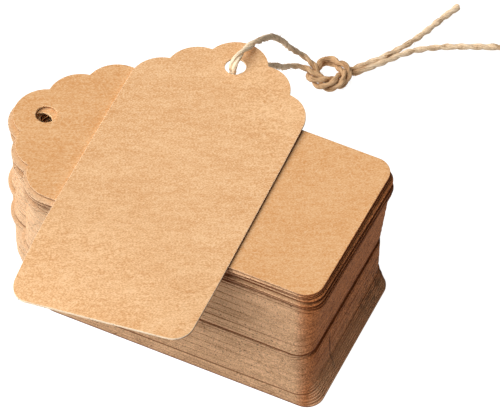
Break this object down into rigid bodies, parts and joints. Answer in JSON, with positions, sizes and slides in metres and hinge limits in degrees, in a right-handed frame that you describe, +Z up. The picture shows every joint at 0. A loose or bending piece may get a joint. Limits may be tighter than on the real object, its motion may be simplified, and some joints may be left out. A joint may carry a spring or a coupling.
{
  "type": "strung price tag on a pile of tags",
  "caption": "Scalloped kraft-card price tag with a hole and knotted jute twine, lying across a neat pile of matching tags; tags turn, the strung tag lifts off and its twine swings.",
  "frame": {"origin": "on the surface that the pile lies on, under the middle of the pile", "axes": "+Z up, +X towards the square ends of the pile's tags, +Y towards the strung tag's hole and its twine"},
  "size_m": [0.0939, 0.1637, 0.0496],
  "materials": {
    "strung_kraft": "uncoated kraft card face",
    "loose_kraft": "uncoated kraft card face",
    "middle_kraft": "cut kraft card edges",
    "bottom_kraft": "cut kraft card edges",
    "jute_twine": "hairy twisted jute"
  },
  "bodies": {
    "bottom_block": {"bottom_tag_01": "bottom_kraft", "bottom_tag_02": "bottom_kraft", "bottom_tag_03": "bottom_kraft", "bottom_tag_04": "bottom_kraft", "bottom_tag_05": "bottom_kraft", "bottom_tag_06": "bottom_kraft", "bottom_tag_07": "bottom_kraft", "bottom_tag_08": "bottom_kraft", "bottom_tag_09": "bottom_kraft", "bottom_tag_10": "bottom_kraft", "bottom_tag_11": "bottom_kraft", "bottom_tag_12": "bottom_kraft", "bottom_tag_13": "bottom_kraft", "bottom_tag_14": "bottom_kraft", "bottom_tag_15": "bottom_kraft", "bottom_tag_16": "bottom_kraft", "bottom_tag_17": "bottom_kraft", "bottom_tag_18": "bottom_kraft", "bottom_tag_19": "bottom_kraft", "bottom_tag_20": "bottom_kraft", "bottom_tag_21": "bottom_kraft", "bottom_tag_22": "bottom_kraft", "bottom_tag_23": "bottom_kraft"},
    "middle_block": {"middle_tag_01": "middle_kraft", "middle_tag_02": "middle_kraft", "middle_tag_03": "middle_kraft", "middle_tag_04": "middle_kraft", "middle_tag_05": "middle_kraft", "middle_tag_06": "middle_kraft", "middle_tag_07": "middle_kraft", "middle_tag_08": "middle_kraft", "middle_tag_09": "middle_kraft", "middle_tag_10": "middle_kraft", "middle_tag_11": "middle_kraft", "middle_tag_12": "middle_kraft", "middle_tag_13": "middle_kraft", "middle_tag_14": "middle_kraft", "middle_tag_15": "middle_kraft", "middle_tag_16": "middle_kraft", "middle_tag_17": "middle_kraft", "middle_tag_18": "middle_kraft", "middle_tag_19": "middle_kraft", "middle_tag_20": "middle_kraft", "middle_tag_21": "middle_kraft", "middle_tag_22": "middle_kraft", "middle_tag_23": "middle_kraft"},
    "loose_tag_01": {"loose_tag_01": "loose_kraft"},
    "loose_tag_02": {"loose_tag_02": "loose_kraft"},
    "loose_tag_03": {"loose_tag_03": "loose_kraft"},
    "loose_tag_04": {"loose_tag_04": "loose_kraft"},
    "loose_tag_05": {"loose_tag_05": "loose_kraft"},
    "loose_tag_06": {"loose_tag_06": "loose_kraft"},
    "loose_tag_07": {"loose_tag_07": "loose_kraft"},
    "loose_tag_08": {"loose_tag_08": "loose_kraft"},
    "strung_tag": {"strung_tag": "strung_kraft"},
    "twine": {"twine_short_strand": "jute_twine", "twine_long_strand": "jute_twine"}
  },
  "joints": [
    {"name": "middle_block_turn", "type": "hinge", "parent": "bottom_block", "child": "middle_block", "pos_m": [0, 0, 0.01966], "axis": [0, 0, 1], "range_deg": [-8, 8]},
    {"name": "loose_tag_01_turn", "type": "hinge", "parent": "middle_block", "child": "loose_tag_01", "pos_m": [0.0011, 0.0003, 0.03902], "axis": [0, 0, 1], "range_deg": [-12, 12]},
    {"name": "loose_tag_02_turn", "type": "hinge", "parent": "middle_block", "child": "loose_tag_02", "pos_m": [-0.0009, 0.0002, 0.03985], "axis": [0, 0, 1], "range_deg": [-12, 12]},
    {"name": "loose_tag_03_turn", "type": "hinge", "parent": "middle_block", "child": "loose_tag_03", "pos_m": [0.0011, -0.0001, 0.04068], "axis": [0, 0, 1], "range_deg": [-12, 12]},
    {"name": "loose_tag_04_turn", "type": "hinge", "parent": "middle_block", "child": "loose_tag_04", "pos_m": [0.0003, 0.0002, 0.04151], "axis": [0, 0, 1], "range_deg": [-12, 12]},
    {"name": "loose_tag_05_turn", "type": "hinge", "parent": "middle_block", "child": "loose_tag_05", "pos_m": [0.001, 0.0001, 0.04234], "axis": [0, 0, 1], "range_deg": [-12, 12]},
    {"name": "loose_tag_06_turn", "type": "hinge", "parent": "middle_block", "child": "loose_tag_06", "pos_m": [0.0004, -0.0002, 0.04317], "axis": [0, 0, 1], "range_deg": [-12, 12]},
    {"name": "loose_tag_07_turn", "type": "hinge", "parent": "middle_block", "child": "loose_tag_07", "pos_m": [-0.0001, -0.0014, 0.044], "axis": [0, 0, 1], "range_deg": [-12, 12]},
    {"name": "loose_tag_08_turn", "type": "hinge", "parent": "middle_block", "child": "loose_tag_08", "pos_m": [0.0004, -0.0005, 0.04483], "axis": [0, 0, 1], "range_deg": [-12, 12]},
    {"name": "strung_tag_lift", "type": "slide", "parent": "bottom_block", "child": "strung_tag", "axis": [0, 0, 1], "range_m": [0, 0.06]},
    {"name": "twine_swing", "type": "hinge", "parent": "strung_tag", "child": "twine", "pos_m": [-0.0022, 0.03245, 0.04566], "axis": [0, 0, 1], "range_deg": [-40, 40]}
  ]
}
